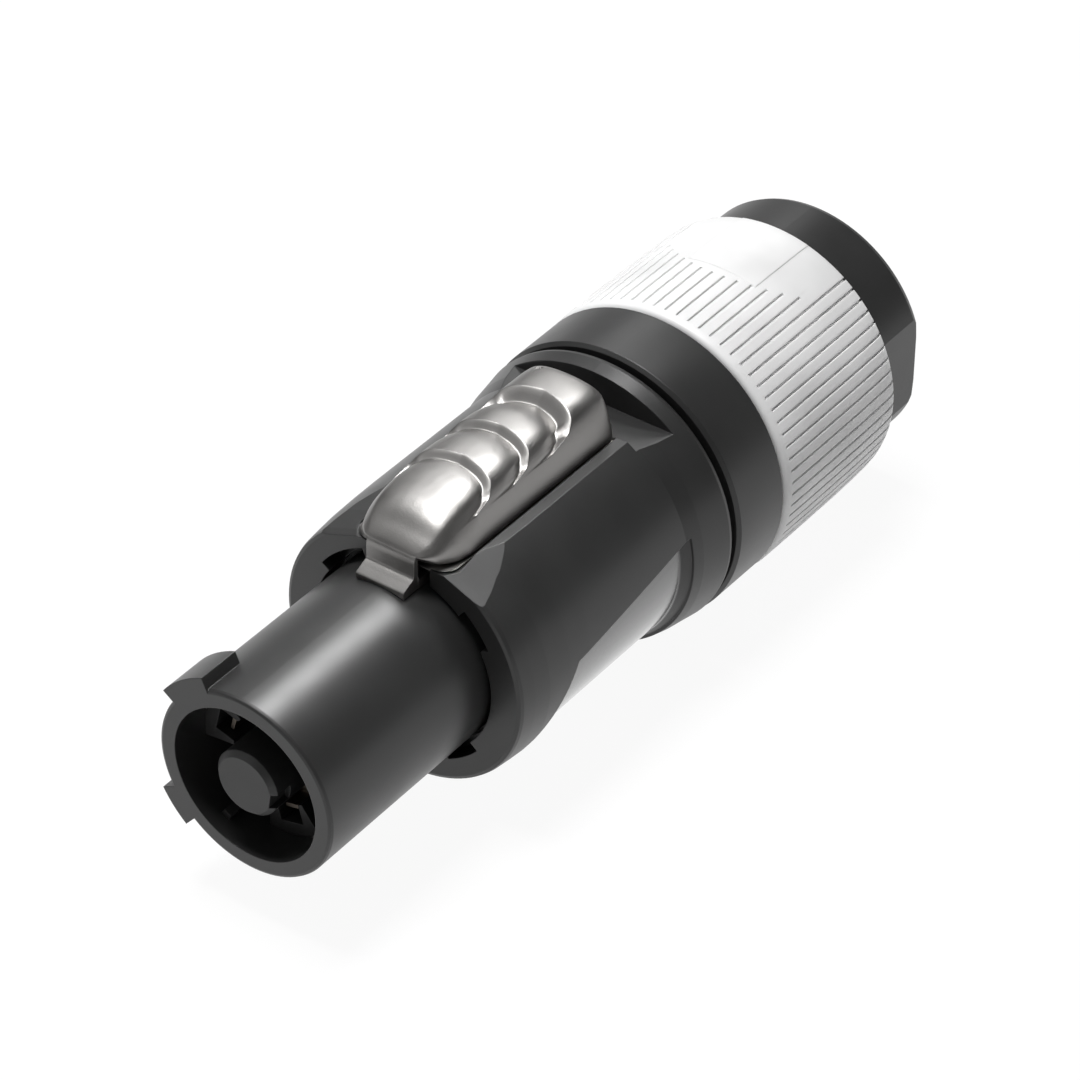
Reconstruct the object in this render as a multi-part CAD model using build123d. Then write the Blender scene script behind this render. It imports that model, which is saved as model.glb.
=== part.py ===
from build123d import *
import os
from math import cos, sin, radians

# Row frame: X runs along the axis towards the cable, Z points through the latch,
# the origin is on the axis at the shoulder that meets the outlet.

# Driving dimensions, millimetres
NOSE_LENGTH = 22.4        # the nose stands this far in front of the shoulder
NOSE_R = 9.7
NOSE_WALL = 1.74
RIM = 0.35                # rounding of the nose rim
LUG_HEIGHT = 1.25
LUG_CENTRES = (38.5, 128.5)   # lug angles from the latch, towards +Y
LUG_WIDTHS = (31.0, 21.0)
LUG_LENGTHS = (4.6, 3.6)
COLLAR_LENGTH = 2.0       # collar of the nose, clamped behind the shoulder wall
SPIGOT = 1.2              # short spigot behind that collar

POST_R = 3.4
INSERT_START = 13.4       # floor of the nose cavity, from the nose front
CHAMBER_START = 4.2       # front faces of the contact chambers
CHAMBER_R = 4.7
RIB_START = 1.7
RIB_HEIGHT = 0.66
INSERT_BACK = 1.5         # back of the insert, behind the shoulder

CONTACT_ANGLES = (75.0, -45.0, -165.0)   # from the latch, towards +Y
BAR_R = 5.3               # middle of the contact bars
BAR_HEIGHT = 1.1
BAR_HALF = 1.1
CAGE_HALF = 2.25
CAGE_LENGTH = 6.4
CAGE_WALL = 0.6
SCREW_R = 1.0
SCREW_HEAD_R = 1.4
TERMINAL_X = 11.5         # middle of the terminals
CARRIER_END = 19.0

HOUSING_LENGTH = 31.5
FRONT_WALL = 3.0
COLLAR_GAP = 0.4          # between the nose and the hole in the shoulder
NOTCH_DEPTH = 1.0
BORE_STEP = 1.2           # housing bore over the nose
BODY_STEP = 1.1           # the body is this much smaller in radius than its rear edge
FRONT_TAPER = 0.45        # the shoulder is this much smaller in radius
WAIST_DEPTH = 0.75        # lowered belly
BED_WALL = 0.5            # wall between the bore and the latch bed
LEDGE_STEP = 0.64         # flat beside the latch, above its bed
BED_END = 29.4
LEDGE_END = 25.3
FACET_ANGLE = 22.0        # middle of the front facets, from the latch

LATCH_TRAVEL = 3.6
LATCH_LENGTH = 25.7
LATCH_HEIGHT = 5.6
SKIRT_HALF = 5.45
KEEL_HALF = 2.3
FOOT_HALF = 2.7
FOOT_END = 11.8
SLIDE_GAP = 0.2           # under and beside the latch
FOOT_GAP = 0.12           # between the foot and the nose
HOOK_REACH = 2.4          # hook bar in front of the shoulder
HOOK_WALL = 1.7
CREST_X = (9.5, 15.2, 21.8)   # crests of the thumb waves
CREST_R = (6.0, 6.0, 4.8)     # plan radii of the crests
RISER_RUN = (0.8, 0.8, 1.3)   # steps in front of the crests
WAVE_DEPTH = (0.62, 0.65, 1.15)
CORNER_R = 2.0            # front corners of the skirt
CROWN_R = 9.5             # the latch's top, across

SPRING_R = 1.05
SPRING_WIRE = 0.2
SPRING_LENGTH = 12.3
SPRING_START = 5.85
STOP_LENGTH = 1.6

FIT = 0.1                 # radial play of running and seated rounds
SLEEVE_START = 20.5       # bushing sleeve that screws into the housing
JOINT_GAP = 0.8           # groove between housing and bushing
FLANGE_LENGTH = 7.55
REAR_R = 15.0             # radius where housing, flange and grip ring meet
GRIP_LENGTH = 19.65
GRIP_WALL = 1.6
GRIP_CROWN = 0.22
TAIL_LENGTH = 7.4
TAIL_FLAT = 0.95          # depth of the tail's flats
CABLE_HOLE_R = 8.4
GROOVES = 72              # round the grip ring
GROOVE_WIDTH = 0.28
GROOVE_DEPTH = 0.22
GROOVE_INSET = 1.15

CHUCK_START = 19.1
CHUCK_WALL = 1.15
CHUCK_LENGTH = 38.4
CHUCK_SLOT = 1.2
CHUCK_TAPER = 7.5         # length of the cone that closes the fingers
FINGER_ROOT = 10.9        # plain collar in front of the fingers

# Sizes that follow
NOSE_FRONT = -NOSE_LENGTH
NOSE_BORE_R = NOSE_R - NOSE_WALL
LUG_R = NOSE_R + LUG_HEIGHT
COLLAR_HOLE_R = NOSE_R + COLLAR_GAP
NOTCH_R = COLLAR_HOLE_R + NOTCH_DEPTH
BORE_R = NOSE_R + BORE_STEP
SHELL_R = REAR_R - BODY_STEP
WAIST_R = SHELL_R - WAIST_DEPTH
BED_Z = BORE_R + BED_WALL
LEDGE_Z = BED_Z + LEDGE_STEP
LATCH_Z = BED_Z + SLIDE_GAP
CREST_Z = LATCH_Z + LATCH_HEIGHT - 0.2
CROWN_Z = CREST_Z - CROWN_R
HOOK_TOP = NOSE_R + 1.05
SPRING_Z = BED_Z + 1.8
HOLLOW_Z = SPRING_Z + SPRING_R + 0.45
SLEEVE_R = BORE_R - FIT
CHUCK_R = SLEEVE_R - 1.55
CHUCK_BORE_R = CHUCK_R - CHUCK_WALL
SEAT_R = REAR_R - GRIP_WALL
FLANGE_START = HOUSING_LENGTH + JOINT_GAP
GRIP_START = FLANGE_START + FLANGE_LENGTH
GRIP_END = GRIP_START + GRIP_LENGTH
TAIL_END = GRIP_END + TAIL_LENGTH
CHUCK_END = CHUCK_START + CHUCK_LENGTH
FAR = 3 * REAR_R          # outside everything


def turned(points, z=0.0):
    """Solid of revolution from (x, r) points, about a line along X at height z."""
    face = make_face(Polyline(*[(x, 0, z + r) for x, r in points], close=True))
    return revolve(face, Axis((0, 0, z), (1, 0, 0)), 360)


def tube(x0, x1, r_in, r_out):
    return turned([(x0, r_in), (x1, r_in), (x1, r_out), (x0, r_out)])


def rod(x0, x1, r):
    return Pos(x0, 0, 0) * Rot(0, 90, 0) * Cylinder(r, x1 - x0, align=(Align.CENTER, Align.CENTER, Align.MIN))


def block(x0, x1, y0, y1, z0, z1):
    return Pos((x0 + x1) / 2, (y0 + y1) / 2, (z0 + z1) / 2) * Box(x1 - x0, y1 - y0, z1 - z0)


def strip(x0, x1, half, z0, z1):
    """Block centred on the latch's plane."""
    return block(x0, x1, -half, half, z0, z1)


def at_angle(shape, degrees):
    """Turn a shape made at +Z by an angle from the latch towards +Y."""
    return Rot(-degrees, 0, 0) * shape


def side_slab(points, half):
    """Outline in XZ, extruded to +-half along Y."""
    face = make_face(Polyline(*[(x, -half, z) for x, z in points], close=True))
    return extrude(face, 2 * half, dir=(0, 1, 0))


def end_slab(points, x0, x1):
    """Outline in YZ, extruded from x0 to x1."""
    face = make_face(Polyline(*[(x0, y, z) for y, z in points], close=True))
    return extrude(face, x1 - x0, dir=(1, 0, 0))


def wedge(x0, x1, centre, width):
    """Slice of everything, width degrees wide, about an angle from the latch."""
    n = max(3, int(width / 6))
    steps = [radians(-width / 2 + width * k / n) for k in range(n + 1)]
    slice_ = end_slab([(0, 0)] + [(FAR * sin(a), FAR * cos(a)) for a in steps], x0, x1)
    return at_angle(slice_, centre)


def sector(x0, x1, r_in, r_out, centre, width):
    """Part of a tube, width degrees wide, about an angle from the latch."""
    return wedge(x0, x1, centre, width) & tube(x0, x1, r_in, r_out)


# Nose parts
KEY_ANGLES = (15.0, -105.0)   # keys between insert and nose
KEY_HALF = 0.75
KEY_START = 8.0


def nose_shell():
    collar_end = FRONT_WALL + COLLAR_LENGTH
    back = collar_end + SPIGOT
    body = turned([(NOSE_FRONT, NOSE_BORE_R), (NOSE_FRONT, NOSE_R - RIM),
                   (NOSE_FRONT + RIM / 3, NOSE_R - RIM / 3), (NOSE_FRONT + RIM, NOSE_R),
                   (FRONT_WALL, NOSE_R), (FRONT_WALL, BORE_R - FIT), (collar_end, BORE_R - FIT),
                   (collar_end, NOSE_R), (back, NOSE_R), (back, NOSE_BORE_R)])
    for a, w, l in zip(LUG_CENTRES, LUG_WIDTHS, LUG_LENGTHS):
        body += sector(NOSE_FRONT, NOSE_FRONT + l, NOSE_R - NOSE_WALL / 3, LUG_R, a, w)
    # the collar is open where the latch's foot runs
    foot_way = strip(FRONT_WALL - FIT, collar_end + FIT, FOOT_HALF + 2 * SLIDE_GAP, NOSE_R - 1.7, FAR)
    body -= foot_way - rod(FRONT_WALL - 1, collar_end + 1, NOSE_R)
    for a in KEY_ANGLES:
        body -= at_angle(strip(-KEY_START, back + FIT, KEY_HALF + 0.05, NOSE_BORE_R - 0.5, NOSE_BORE_R + 0.7), a)
    return body


def contact_insert():
    """Centre post, contact chambers and the disc behind them."""
    floor = NOSE_FRONT + INSERT_START
    front = NOSE_FRONT + CHAMBER_START
    ribs = NOSE_FRONT + RIB_START
    body = turned([(NOSE_FRONT, 0), (NOSE_FRONT, POST_R - 0.5), (NOSE_FRONT + 0.5, POST_R),
                   (ribs, POST_R), (ribs, NOSE_BORE_R), (INSERT_BACK, NOSE_BORE_R), (INSERT_BACK, 0)])
    # the cavity round the post leaves the chambers and low ribs on its wall
    cavity = tube(ribs - 1, floor, POST_R, NOSE_BORE_R + 1)
    for a in CONTACT_ANGLES:
        cavity -= wedge(front, floor + 1, a, 44) - rod(front - 1, floor + 2, CHAMBER_R)
    for a in (150.0, 30.0, -120.0):
        cavity -= wedge(ribs, floor + 1, a, 7) - rod(ribs - 1, floor + 2, NOSE_BORE_R - RIB_HEIGHT)
    body -= cavity
    body -= at_angle(strip(NOSE_FRONT - FIT, NOSE_FRONT + 2.2, 0.8, POST_R - 0.55, POST_R + 1), -100)
    inner, outer = BAR_R - BAR_HEIGHT / 2, BAR_R + BAR_HEIGHT / 2
    for a in CONTACT_ANGLES:
        body -= at_angle(strip(front - FIT, floor + FIT, BAR_HALF + 0.2, POST_R + 0.6, outer + 0.75), a)
        body -= at_angle(strip(floor, INSERT_BACK + FIT, BAR_HALF, inner, outer), a)
    for a in KEY_ANGLES:
        body += at_angle(strip(FIT - KEY_START, INSERT_BACK, KEY_HALF, NOSE_BORE_R - 0.6, NOSE_BORE_R + 0.65), a)
    return body


def contact_carrier():
    """Block behind the insert with three terminal pockets."""
    collar_end = FRONT_WALL + COLLAR_LENGTH + SPIGOT
    body = turned([(INSERT_BACK, 0), (INSERT_BACK, NOSE_BORE_R), (collar_end, NOSE_BORE_R),
                   (collar_end, BORE_R - 1.5 * FIT), (CARRIER_END, BORE_R - 1.5 * FIT), (CARRIER_END, 0)])
    way = strip(collar_end - FIT, FOOT_END + LATCH_TRAVEL + 1.8, FOOT_HALF + 2 * SLIDE_GAP, NOSE_R - 1.7, FAR)
    body -= way - rod(0, FAR, NOSE_R)
    inner, outer = BAR_R - BAR_HEIGHT / 2, BAR_R + BAR_HEIGHT / 2
    pocket = TERMINAL_X - CAGE_LENGTH / 2 - 1.3
    for a in CONTACT_ANGLES:
        body -= at_angle(strip(INSERT_BACK - FIT, pocket, BAR_HALF, inner, outer), a)
        body -= at_angle(strip(pocket, CARRIER_END + FIT, CAGE_HALF + 0.05, BAR_R - CAGE_HALF - 0.25, BAR_R + CAGE_HALF + 0.05), a)
        body -= at_angle(Pos(TERMINAL_X, 0, BAR_R + 2) * Cylinder(SCREW_HEAD_R + FIT, FAR, align=(Align.CENTER, Align.CENTER, Align.MIN)), a)
    return body


def contact(angle):
    """Sprung strip in front, bar through the insert, terminal tongue behind."""
    floor = NOSE_FRONT + INSERT_START
    inner, outer = BAR_R - BAR_HEIGHT / 2, BAR_R + BAR_HEIGHT / 2
    front = NOSE_FRONT + CHAMBER_START + 0.8
    body = strip(front, floor, BAR_HALF, BAR_R - 0.1, BAR_R + 0.3)
    body += Pos(front + 2.8, 0, BAR_R - 0.2) * Rot(90, 0, 0) * Cylinder(0.75, 2 * BAR_HALF)
    body -= strip(front - 1, floor - FIT, BAR_HALF + 1, 0, inner - FIT)
    body += strip(floor, TERMINAL_X - 2.5, BAR_HALF, inner, outer)
    body += strip(TERMINAL_X - 2.5, TERMINAL_X + 4, CAGE_HALF - CAGE_WALL - 0.05, inner, outer)
    return at_angle(body, angle)


def terminal_cage(angle):
    """Square frame that draws the wire against the tongue."""
    x0, x1 = TERMINAL_X - CAGE_LENGTH / 2, TERMINAL_X + CAGE_LENGTH / 2
    body = strip(x0, x1, CAGE_HALF, BAR_R - CAGE_HALF - 0.2, BAR_R + CAGE_HALF)
    body -= strip(x0 - 1, x1 + 1, CAGE_HALF - CAGE_WALL, BAR_R - CAGE_HALF + 0.55, BAR_R + BAR_HEIGHT / 2)
    body -= Pos(TERMINAL_X, 0, BAR_R) * Cylinder(SCREW_R, 6, align=(Align.CENTER, Align.CENTER, Align.MIN))
    return at_angle(body, angle)


def terminal_screws():
    """One screw in each cage, its tip on the tongue."""
    tip, head, top = BAR_R + BAR_HEIGHT / 2, BAR_R + CAGE_HALF, BAR_R + CAGE_HALF + 1.5
    out = []
    for a in CONTACT_ANGLES:
        s = Pos(TERMINAL_X, 0, tip) * Cylinder(SCREW_R, head - tip, align=(Align.CENTER, Align.CENTER, Align.MIN))
        s += Pos(TERMINAL_X, 0, head) * Cylinder(SCREW_HEAD_R, top - head, align=(Align.CENTER, Align.CENTER, Align.MIN))
        s -= strip(TERMINAL_X - 2, TERMINAL_X + 2, SCREW_R / 4.5, top - 0.6, top + 1)
        s -= strip(TERMINAL_X - SCREW_R / 4.5, TERMINAL_X + SCREW_R / 4.5, 2, top - 0.6, top + 1)
        out.append(at_angle(s, a))
    return Compound(out)


# Housing
def housing_blank():
    """Turned form: tapered shoulder, straight body, flare up to the flange."""
    flare = HOUSING_LENGTH - 5.9
    return turned([(0.0, COLLAR_HOLE_R), (0.0, SHELL_R - FRONT_TAPER - 0.45), (0.15, SHELL_R - FRONT_TAPER - 0.12),
                   (0.5, SHELL_R - FRONT_TAPER), (2.0, SHELL_R - 0.3), (4.0, SHELL_R - 0.14),
                   (7.0, SHELL_R - 0.04), (10.0, SHELL_R),
                   (flare, SHELL_R), (flare + 0.8, SHELL_R + 0.2), (flare + 1.8, REAR_R - 0.66),
                   (flare + 3.8, REAR_R - 0.36), (HOUSING_LENGTH - 0.6, REAR_R - 0.12),
                   (HOUSING_LENGTH - 0.2, REAR_R - 0.2), (HOUSING_LENGTH, REAR_R - 0.4),
                   (HOUSING_LENGTH, BORE_R), (FRONT_WALL, BORE_R), (FRONT_WALL, COLLAR_HOLE_R)])


def front_facet(side):
    """Rounded-off corner between the ledge and the shoulder."""
    top = SHELL_R
    curve = [(9.5, top + 0.15), (7.0, top - 0.1), (5.2, top - 0.38), (3.2, top - 0.72), (0.8, top - 1.27), (-0.1, top - 1.53)]
    zone = side_slab(curve + [(-1.0, top - 1.8), (-1.0, FAR), (9.5, FAR)], FAR)
    return at_angle(zone, -side * FACET_ANGLE)


def belly_cut():
    """Lowered belly: a ring taken off below a slanting line."""
    end = HOUSING_LENGTH - 5.3
    ring = tube(3.0, end, WAIST_R, FAR)
    ring -= turned([(end - 1.2, WAIST_R), (end, WAIST_R + 0.65), (end + 0.2, WAIST_R)])
    below = side_slab([(8.3, 0.5), (end, 3.3), (end, -FAR), (1.0, -FAR), (3.4, -7.6)], FAR)
    return ring & below


def housing():
    body = housing_blank() - belly_cut()
    for side in (1, -1):
        body -= front_facet(side)
    # flat ledge beside the latch, deeper bed below it and behind it
    body -= strip(-1, LEDGE_END, FAR, LEDGE_Z, FAR)
    body -= strip(-1, BED_END, SKIRT_HALF + 1.5 * SLIDE_GAP, BED_Z, FAR)
    body -= strip(LEDGE_END - FIT, BED_END, FAR, BED_Z, FAR)
    # slot for the hook in the shoulder, slot for the keel behind it
    body -= strip(-1, FRONT_WALL, FOOT_HALF + 0.7, NOSE_R - 1.7, FAR)
    body -= strip(FRONT_WALL - FIT, FOOT_END + LATCH_TRAVEL + 1, KEEL_HALF + 0.15, NOSE_R - 1.7, FAR)
    for k in range(4):
        body -= sector(-FIT, 2.2, COLLAR_HOLE_R - 0.3, NOTCH_R, LUG_CENTRES[0] + 90 * k, LUG_WIDTHS[min(k, 1)] + 1)
    # stop that the latch spring pushes against
    stop = SPRING_START + SPRING_LENGTH + 0.25
    body += strip(stop, stop + STOP_LENGTH, KEEL_HALF + FIT, BED_Z - 0.2, HOLLOW_Z - 0.3)
    return body


# Latch
def latch_section():
    """Sides that lean in more and more, up to the crowned top."""
    h = LATCH_HEIGHT
    side = [(SKIRT_HALF, 0.0), (SKIRT_HALF - 0.1, 0.14 * h), (SKIRT_HALF - 0.45, 0.47 * h), (SKIRT_HALF - 0.95, 0.72 * h),
            (SKIRT_HALF - 1.7, 0.87 * h), (SKIRT_HALF - 3.0, 0.97 * h)]
    right = Spline(*[(-3, y, LATCH_Z + z) for y, z in side])
    left = Spline(*[(-3, -y, LATCH_Z + z) for y, z in side])
    face = make_face(Wire([right, Line(right @ 1, left @ 1), left, Line(left @ 0, right @ 0)]))
    return extrude(face, LATCH_LENGTH + 6, dir=(1, 0, 0))


def crown(curve):
    """Everything under a crowned top whose middle line follows (x, z) points."""
    line = Spline(*[(x, 0, z) for x, z in curve])
    low = CROWN_Z + 0.01
    wire = [line, Line(line @ 1, (curve[-1][0], 0, low)), Line((curve[-1][0], 0, low), (curve[0][0], 0, low)),
            Line((curve[0][0], 0, low), line @ 0)]
    return revolve(make_face(Wire(wire)), Axis((0, 0, CROWN_Z), (1, 0, 0)), 360)


def crest_cone(x, r):
    """Space in front of a crest: a cone about an upright line, so the crest is an arc."""
    return Pos(x - r, 0, CREST_Z) * Cone(r - 3.6, r + 3.6, 6)


def latch():
    end, low, top = LATCH_LENGTH, LATCH_Z, CREST_Z
    side = [(-0.3, low), (end - 0.2, low), (end, low + 0.4), (end, top - 1.3), (end - 0.1, top - 0.7), (end - 0.5, top - 0.4),
            (end - 1.5, top - 0.15), (end - 2.8, top), (CREST_X[2], top + 0.2), (2.0, top + 0.2), (-0.3, top - 2)]
    body = side_slab(side, FAR) & latch_section()
    # front dome, then one wave behind each crest
    first, foot = CREST_X[0], CREST_X[0] - RISER_RUN[0]
    dome = crown([(-1.2, low), (-0.35, top - 4.0), (0.4, top - 2.6), (1.5, top - 1.5), (3.0, top - 0.82), (4.75, top - 0.46),
                  (6.5, top - 0.38), (foot - 0.7, top - 0.45), (foot, top - WAVE_DEPTH[0]), (first + 1.5, top - WAVE_DEPTH[0] - 0.5)])
    ahead = block(-5, first - CREST_R[0], -FAR, FAR, low, FAR)
    body -= (ahead + crest_cone(first, CREST_R[0])) - dome
    for k in (1, 2):
        x0, x1, deep = CREST_X[k - 1], CREST_X[k], WAVE_DEPTH[k]
        foot = x1 - RISER_RUN[k]
        wave = crown([(x0 - 3.5, top + 0.1), (x0, top), (x0 + 0.4 * (foot - x0), top - 0.12 * deep),
                      (x0 + 0.75 * (foot - x0), top - 0.5 * deep), (foot, top - deep), (x1 + 1.5, top - 1.6 * deep)])
        before = crest_cone(x0, CREST_R[k - 1]) + block(-5, x0 - CREST_R[k - 1], -FAR, FAR, low, FAR)
        body -= crest_cone(x1, CREST_R[k]) - before - wave
    # rounded front corners of the skirt
    edge = SKIRT_HALF - CORNER_R + 0.15
    for s in (1, -1):
        corner = block(-1, CORNER_R, edge, FAR, low - 1, FAR) - Pos(CORNER_R, edge, low) * Cylinder(CORNER_R, FAR)
        body -= corner if s > 0 else mirror(corner, Plane.XZ)
    # hollow underneath for the spring and its stop
    body -= strip(SPRING_START - 0.25, SPRING_START + SPRING_LENGTH + STOP_LENGTH + LATCH_TRAVEL + 0.6, 3.0, low - 1, HOLLOW_Z)
    # keel through the housing, neck, foot and hook bar that lie on the nose
    foot_z = NOSE_R + 0.7
    body += strip(0.2, FOOT_END, KEEL_HALF, foot_z - 0.2, low + 0.1)
    body += side_slab([(-0.3, low + 1.5), (-0.75, low + 0.6), (-1.1, low - 0.3), (-1.5, foot_z + 0.4),
                       (-1.5, foot_z - 0.5), (0.6, foot_z - 0.5), (0.6, low + 1.5)], KEEL_HALF)
    bar = side_slab([(-HOOK_REACH, NOSE_R - 1), (-HOOK_REACH, HOOK_TOP - 0.45), (-HOOK_REACH + 0.2, HOOK_TOP - 0.25),
                     (-HOOK_REACH + 0.5, HOOK_TOP - 0.2), (-HOOK_REACH + 0.6, HOOK_TOP), (HOOK_WALL - HOOK_REACH, HOOK_TOP),
                     (HOOK_WALL - HOOK_REACH, NOSE_R - 1)], FOOT_HALF)
    foot = strip(HOOK_WALL - HOOK_REACH, FOOT_END, FOOT_HALF, NOSE_R - 1, foot_z)
    body += bar + foot
    body -= Rot(0, 90, 0) * Cylinder(NOSE_R + FOOT_GAP, 2 * FAR)
    # small oval mark near the tail
    body -= Pos(end - 1.6, 3.05, top - 0.4) * Rot(0, 0, -39) * Box(1.9, 0.6, 0.5)
    return body


def latch_spring():
    coil = Helix(pitch=1.6, height=SPRING_LENGTH, radius=SPRING_R)
    path = Pos(SPRING_START, 0, SPRING_Z) * Rot(0, 90, 0) * coil
    return sweep(Plane(origin=path @ 0, z_dir=path % 0) * Circle(SPRING_WIRE), path=path)


# Cable end
def chuck():
    """Strain relief collet: plain collar in front, eight fingers behind."""
    lip = CABLE_HOLE_R - 1.0
    body = turned([(CHUCK_START, CHUCK_BORE_R), (CHUCK_START, CHUCK_R), (CHUCK_END - CHUCK_TAPER, CHUCK_R),
                   (CHUCK_END, CABLE_HOLE_R - FIT), (CHUCK_END, lip), (CHUCK_END - CHUCK_TAPER + 2, lip),
                   (CHUCK_END - CHUCK_TAPER + 0.5, CHUCK_BORE_R)])
    for k in range(4):
        body -= at_angle(strip(CHUCK_START + FINGER_ROOT, CHUCK_END + 1, CHUCK_SLOT / 2, -FAR, FAR), 22.5 + 45 * k)
    return body


def bushing():
    """Threaded sleeve, flange, seat of the grip ring and tail in one piece."""
    hollow = CHUCK_R + FIT
    body = turned([(SLEEVE_START, hollow), (SLEEVE_START, SLEEVE_R - 0.3), (SLEEVE_START + 0.3, SLEEVE_R), (FLANGE_START, SLEEVE_R),
                   (FLANGE_START, REAR_R - 0.35), (FLANGE_START + 0.35, REAR_R),
                   (GRIP_START - 0.35, REAR_R + 0.05), (GRIP_START, REAR_R - 0.3), (GRIP_START, SEAT_R),
                   (TAIL_END - 0.7, SEAT_R), (TAIL_END - 0.2, SEAT_R - 0.2), (TAIL_END, SEAT_R - 0.7),
                   (TAIL_END, CABLE_HOLE_R + 0.9), (TAIL_END - 0.9, CABLE_HOLE_R),
                   (CHUCK_END + 1, CABLE_HOLE_R), (CHUCK_END - CHUCK_TAPER, hollow)])
    flat = SEAT_R - TAIL_FLAT
    body -= strip(GRIP_END, TAIL_END + 1, FAR, -FAR, FAR) - strip(GRIP_END, TAIL_END + 1, flat, -FAR, FAR)
    return body


def grip_ring():
    top = REAR_R + GRIP_CROWN
    body = turned([(GRIP_START + 0.05, SEAT_R), (GRIP_START + 0.05, top - 0.52), (GRIP_START + 0.45, top - 0.12),
                   (GRIP_START + 2.1, top - 0.02), (GRIP_START + 8.1, top), (GRIP_END - 5.5, top - 0.1),
                   (GRIP_END - 0.7, top - 0.22), (GRIP_END - 0.15, top - 0.37),
                   (GRIP_END, top - 0.62), (GRIP_END, SEAT_R)])
    cuts = []
    for k in range(GROOVES):
        a = 360.0 / GROOVES * k
        d = a if a <= 180 else a - 360
        end = GRIP_END + 1 if abs(d) > 33 else GRIP_START + 9.05 + 5.2 * (d / 35.0) ** 2
        cuts.append(at_angle(strip(GRIP_START + GROOVE_INSET, end, GROOVE_WIDTH / 2, top - GROOVE_DEPTH, top + 0.4), a))
    return body - Compound(cuts)


PARTS = {
    "nose_shell": nose_shell,
    "contact_insert": contact_insert,
    "contact_carrier": contact_carrier,
    "housing": housing,
    "latch": latch,
    "latch_spring": latch_spring,
    "terminal_screws": terminal_screws,
    "cable_chuck": chuck,
    "bushing": bushing,
    "grip_ring": grip_ring,
}

if __name__ == "__main__":
    os.makedirs("parts", exist_ok=True)
    for name, make in PARTS.items():
        export_step(make(), "parts/" + name + ".step")
    for name, a in zip(("line", "neutral", "earth"), CONTACT_ANGLES):
        export_step(contact(a), "parts/contact_" + name + ".step")
        export_step(terminal_cage(a), "parts/terminal_cage_" + name + ".step")
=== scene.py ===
# %% [markdown]
# # A locking cable connector, dressed for its picture
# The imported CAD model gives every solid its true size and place. This lesson
# adds what CAD leaves out: the skin of moulded plastic, the cast metal of the
# latch, the ribs of the grip, and a small studio to look at them in.

# %% Load the frame
from math import atan2, cos, degrees, pi, radians, sin, sqrt

import bpy
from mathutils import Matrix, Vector


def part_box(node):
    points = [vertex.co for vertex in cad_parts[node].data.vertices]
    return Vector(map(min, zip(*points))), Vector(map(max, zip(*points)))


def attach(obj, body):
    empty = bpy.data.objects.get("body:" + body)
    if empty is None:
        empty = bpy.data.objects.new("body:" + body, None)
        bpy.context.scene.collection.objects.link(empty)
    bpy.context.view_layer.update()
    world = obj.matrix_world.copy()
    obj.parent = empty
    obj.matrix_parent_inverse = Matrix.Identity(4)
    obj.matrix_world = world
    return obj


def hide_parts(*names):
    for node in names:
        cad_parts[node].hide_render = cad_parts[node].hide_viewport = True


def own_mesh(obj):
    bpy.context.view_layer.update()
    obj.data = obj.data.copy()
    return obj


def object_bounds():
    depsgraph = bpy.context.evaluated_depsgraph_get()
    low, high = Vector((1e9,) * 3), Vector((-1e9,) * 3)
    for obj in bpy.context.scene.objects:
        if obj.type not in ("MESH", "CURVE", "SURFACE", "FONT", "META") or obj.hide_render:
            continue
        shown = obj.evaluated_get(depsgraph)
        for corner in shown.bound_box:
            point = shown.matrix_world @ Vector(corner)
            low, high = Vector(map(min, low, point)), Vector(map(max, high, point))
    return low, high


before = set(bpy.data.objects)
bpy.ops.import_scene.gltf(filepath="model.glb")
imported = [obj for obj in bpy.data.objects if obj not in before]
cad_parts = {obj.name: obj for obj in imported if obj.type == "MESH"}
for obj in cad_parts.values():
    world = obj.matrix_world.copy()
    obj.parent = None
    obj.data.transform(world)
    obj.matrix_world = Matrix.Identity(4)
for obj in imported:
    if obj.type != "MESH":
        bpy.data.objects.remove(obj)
cad_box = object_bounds()
MM = 0.001
print("CAD box in mm:", [[round(v / MM, 2) for v in corner] for corner in cad_box])

# %% [markdown]
# ## Camera
# The picture was taken with a long lens, from in front of the nose, beside it
# and above it, so the nose points to the lower left. A camera could be turned
# by hand until it fits. One that looks at a point of the axis needs only that
# point, two angles and a distance, which a few circles in the picture give.

# %% Set the camera
AIM = Vector((21.07, 0.0, 0.0)) * MM
CAMERA_TURN = radians(-53.53)
CAMERA_RISE = radians(37.88)
CAMERA_DISTANCE = 398.1 * MM
LENS = 141.33
SENSOR = 36.0


def towards(turn, rise):
    """Unit vector at an angle round Z, from -Y towards +X, and a height."""
    return Vector((sin(turn) * cos(rise), -cos(turn) * cos(rise), sin(rise)))


camera_data = bpy.data.cameras.new("camera")
camera_data.lens = LENS
camera_data.sensor_width = SENSOR
camera_data.clip_start = 0.01
camera = bpy.data.objects.new("camera", camera_data)
camera.location = AIM + towards(CAMERA_TURN, CAMERA_RISE) * CAMERA_DISTANCE
camera.rotation_euler = (AIM - camera.location).to_track_quat("-Z", "Y").to_euler()
bpy.context.collection.objects.link(camera)
bpy.context.scene.camera = camera
bpy.context.scene.view_settings.view_transform = "Standard"
print("camera in mm:", [round(v / MM, 1) for v in camera.location])

# %% [markdown]
# ## Shader sums in plain Python
# A finish is mostly small sums on masks and noise. The nodes could be placed
# and linked one by one, which hides the sum. Wrapping a socket in a class that
# knows + - * / lets the sums be written as they are thought, and each sign
# adds one Math node to the tree.

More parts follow.
